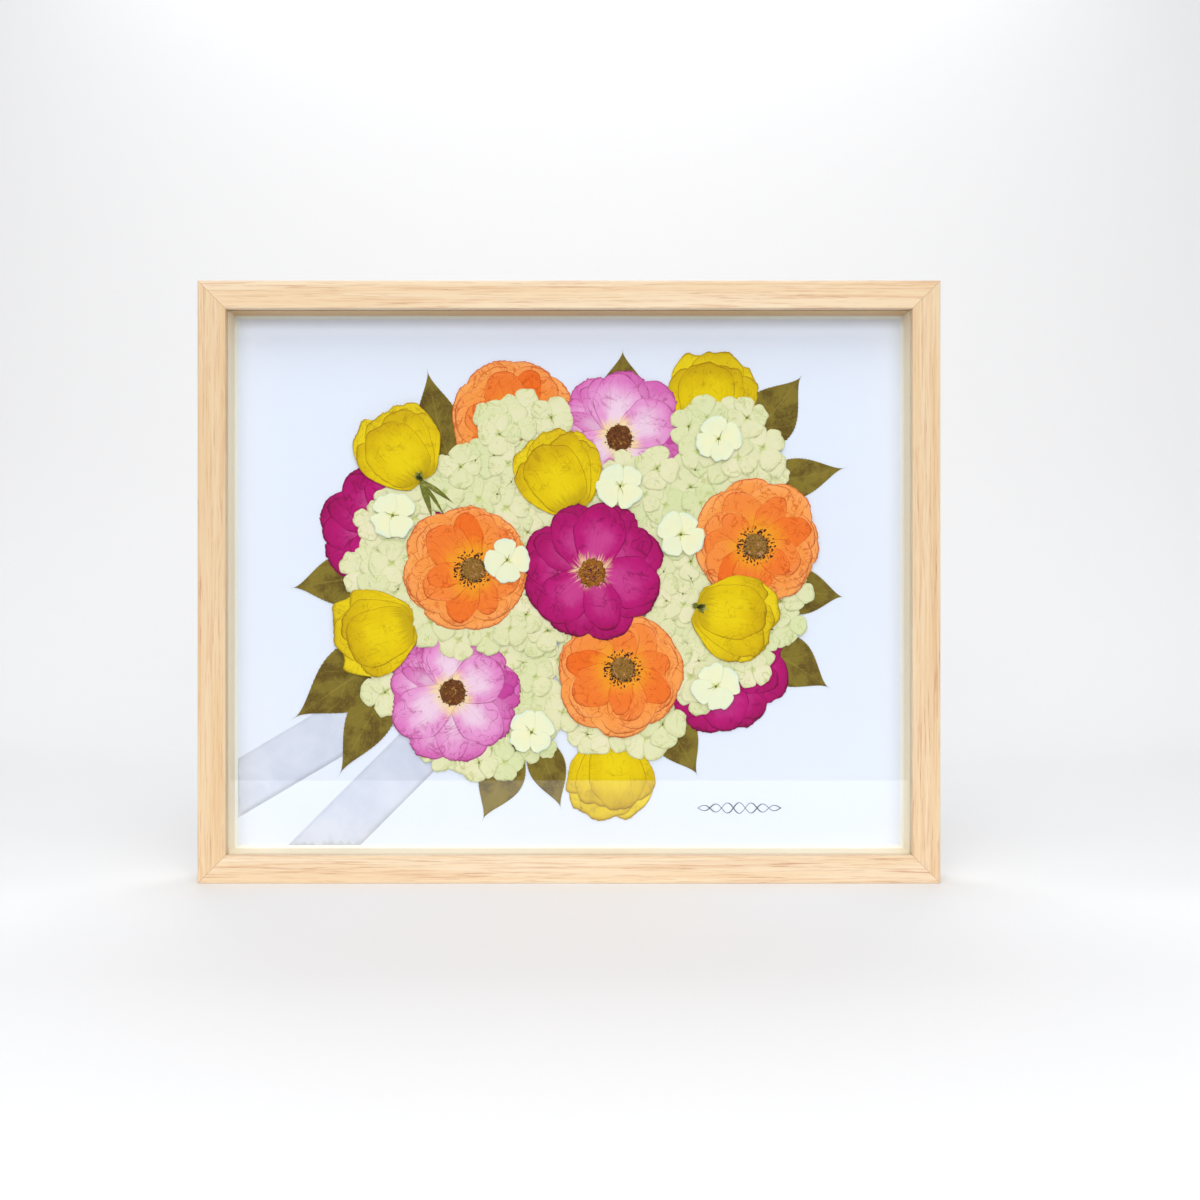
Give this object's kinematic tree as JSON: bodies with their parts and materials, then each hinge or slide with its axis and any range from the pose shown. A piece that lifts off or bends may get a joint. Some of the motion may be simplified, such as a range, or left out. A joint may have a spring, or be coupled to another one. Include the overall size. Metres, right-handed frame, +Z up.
{
  "type": "floating frame",
  "caption": "Deep glazed wood frame that holds a pressed-flower bouquet on a board set back from the glass, with hanging rings behind.",
  "frame": {"origin": "centre of the object's box in X and Y, at the underside of the bottom rail", "axes": "+X right seen from the front, +Y towards the wall, +Z up"},
  "size_m": [0.5388, 0.0386, 0.4372],
  "materials": {
    "blond_wood": "pale maple or ash veneer, fine pinkish grain along each moulding, satin lacquer",
    "clear_glass": "clear picture glass with a faint reflection",
    "cream_spacer": "smooth cream paper-faced spacer strip",
    "off_white_mat": "off-white core with a 45 degree bevel",
    "bluish_board": "matte bluish-white board",
    "sheer_ribbon": "sheer pale grey-blue ribbon, fine plain weave, faint mottling",
    "foam_core": "paper-faced foam board",
    "hardboard": "brown pressed fibre, smooth face to the wall",
    "spring_steel": "bare strip steel",
    "zinc_steel": "bright zinc plate",
    "brass_plate": "brass-plated pressed steel",
    "black_rubber": "soft matte bumper",
    "olive_leaf": "dried leaf, fine veins",
    "orange_petal": "dried translucent petals, dark stamens",
    "pink_petal": "dried translucent petals, cream throat",
    "magenta_petal": "dried translucent petals, deep edges",
    "yellow_petal": "dried petals, fine fan of veins",
    "green_sepal": "pale veined sepals"
  },
  "bodies": {
    "frame": {"back_panel": "hardboard", "bevelled_mat": "off_white_mat", "bottom_rail": "blond_wood", "bottom_spacer": "cream_spacer", "corner_wedges": "spring_steel", "foam_board": "foam_core", "front_glass": "clear_glass", "hanger_screws": "zinc_steel", "hydrangea_bottom": "green_sepal", "hydrangea_centre": "green_sepal", "hydrangea_left": "green_sepal", "hydrangea_lower_left": "green_sepal", "hydrangea_middle": "green_sepal", "hydrangea_right": "green_sepal", "hydrangea_top_left": "green_sepal", "hydrangea_top_right": "green_sepal", "left_hanger_strap": "zinc_steel", "left_spacer": "cream_spacer", "left_stile": "blond_wood", "magenta_rose_centre": "magenta_petal", "magenta_rose_left": "magenta_petal", "magenta_rose_right": "magenta_petal", "mount_board": "bluish_board", "orange_ranunculus_bottom": "orange_petal", "orange_ranunculus_left": "orange_petal", "orange_ranunculus_right": "orange_petal", "orange_ranunculus_top": "orange_petal", "pink_rose_left": "pink_petal", "pink_rose_top": "pink_petal", "pressed_leaves": "olive_leaf", "ribbon_tail_left": "sheer_ribbon", "ribbon_tail_right": "sheer_ribbon", "right_hanger_strap": "zinc_steel", "right_spacer": "cream_spacer", "right_stile": "blond_wood", "single_florets": "green_sepal", "top_rail": "blond_wood", "top_spacer": "cream_spacer", "turn_button_screws": "zinc_steel", "wall_bumpers": "black_rubber", "yellow_buttercup_bottom": "yellow_petal", "yellow_buttercup_left": "yellow_petal", "yellow_buttercup_right": "yellow_petal", "yellow_buttercup_top": "yellow_petal", "yellow_buttercup_top_left": "yellow_petal", "yellow_buttercup_top_right": "yellow_petal"},
    "turn_button_top_left": {"turn_button_top_left": "brass_plate"},
    "turn_button_top_right": {"turn_button_top_right": "brass_plate"},
    "turn_button_bottom_left": {"turn_button_bottom_left": "brass_plate"},
    "turn_button_bottom_right": {"turn_button_bottom_right": "brass_plate"},
    "turn_button_left": {"turn_button_left": "brass_plate"},
    "turn_button_right": {"turn_button_right": "brass_plate"},
    "left_ring": {"left_hanger_ring": "zinc_steel"},
    "right_ring": {"right_hanger_ring": "zinc_steel"}
  },
  "joints": [
    {"name": "turn_button_top_left_pivot", "type": "hinge", "parent": "frame", "child": "turn_button_top_left", "pos_m": [-0.15, 0.01485, 0.4298], "axis": [0, 1, 0], "range_deg": [-90, 90]},
    {"name": "turn_button_top_right_pivot", "type": "hinge", "parent": "frame", "child": "turn_button_top_right", "pos_m": [0.15, 0.01485, 0.4298], "axis": [0, 1, 0], "range_deg": [-90, 90]},
    {"name": "turn_button_bottom_left_pivot", "type": "hinge", "parent": "frame", "child": "turn_button_bottom_left", "pos_m": [-0.15, 0.01485, 0.0074], "axis": [0, 1, 0], "range_deg": [-90, 90]},
    {"name": "turn_button_bottom_right_pivot", "type": "hinge", "parent": "frame", "child": "turn_button_bottom_right", "pos_m": [0.15, 0.01485, 0.0074], "axis": [0, 1, 0], "range_deg": [-90, 90]},
    {"name": "turn_button_left_pivot", "type": "hinge", "parent": "frame", "child": "turn_button_left", "pos_m": [-0.262, 0.01485, 0.2186], "axis": [0, 1, 0], "range_deg": [-90, 90]},
    {"name": "turn_button_right_pivot", "type": "hinge", "parent": "frame", "child": "turn_button_right", "pos_m": [0.262, 0.01485, 0.2186], "axis": [0, 1, 0], "range_deg": [-90, 90]},
    {"name": "left_ring_swing", "type": "hinge", "parent": "frame", "child": "left_ring", "pos_m": [-0.2595, 0.01675, 0.3], "axis": [1, 0, 0], "range_deg": [0, 180]},
    {"name": "right_ring_swing", "type": "hinge", "parent": "frame", "child": "right_ring", "pos_m": [0.2595, 0.01675, 0.3], "axis": [1, 0, 0], "range_deg": [0, 180]}
  ]
}
